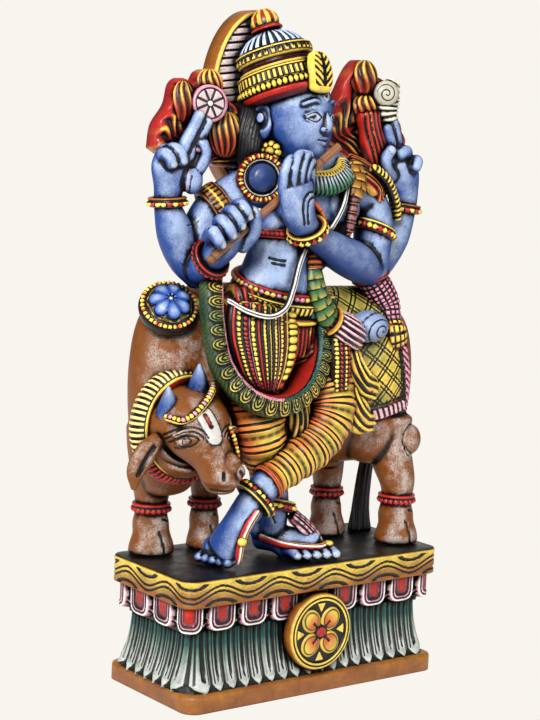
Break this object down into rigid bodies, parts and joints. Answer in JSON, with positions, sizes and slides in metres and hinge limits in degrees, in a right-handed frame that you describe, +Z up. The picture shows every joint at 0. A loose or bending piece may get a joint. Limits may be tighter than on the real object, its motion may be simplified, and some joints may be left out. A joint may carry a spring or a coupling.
{
  "type": "krishna figure",
  "caption": "Carved and painted wooden flute player with four arms, standing cross-legged before a cow on a fluted rectangular plinth.",
  "frame": {"origin": "centre of the plinth's underside", "axes": "+Z up, the figure and the plinth's medallion face -Y, +X to the right as seen from the front"},
  "size_m": [0.3204, 0.1383, 0.6086],
  "materials": {
    "painted_plinth": "painted and waxed",
    "painted_carving": "painted and waxed",
    "flute_wood": "satin"
  },
  "bodies": {
    "root": {"plinth": "painted_plinth", "krishna_and_cow": "painted_carving", "flute": "flute_wood"}
  },
  "joints": []
}
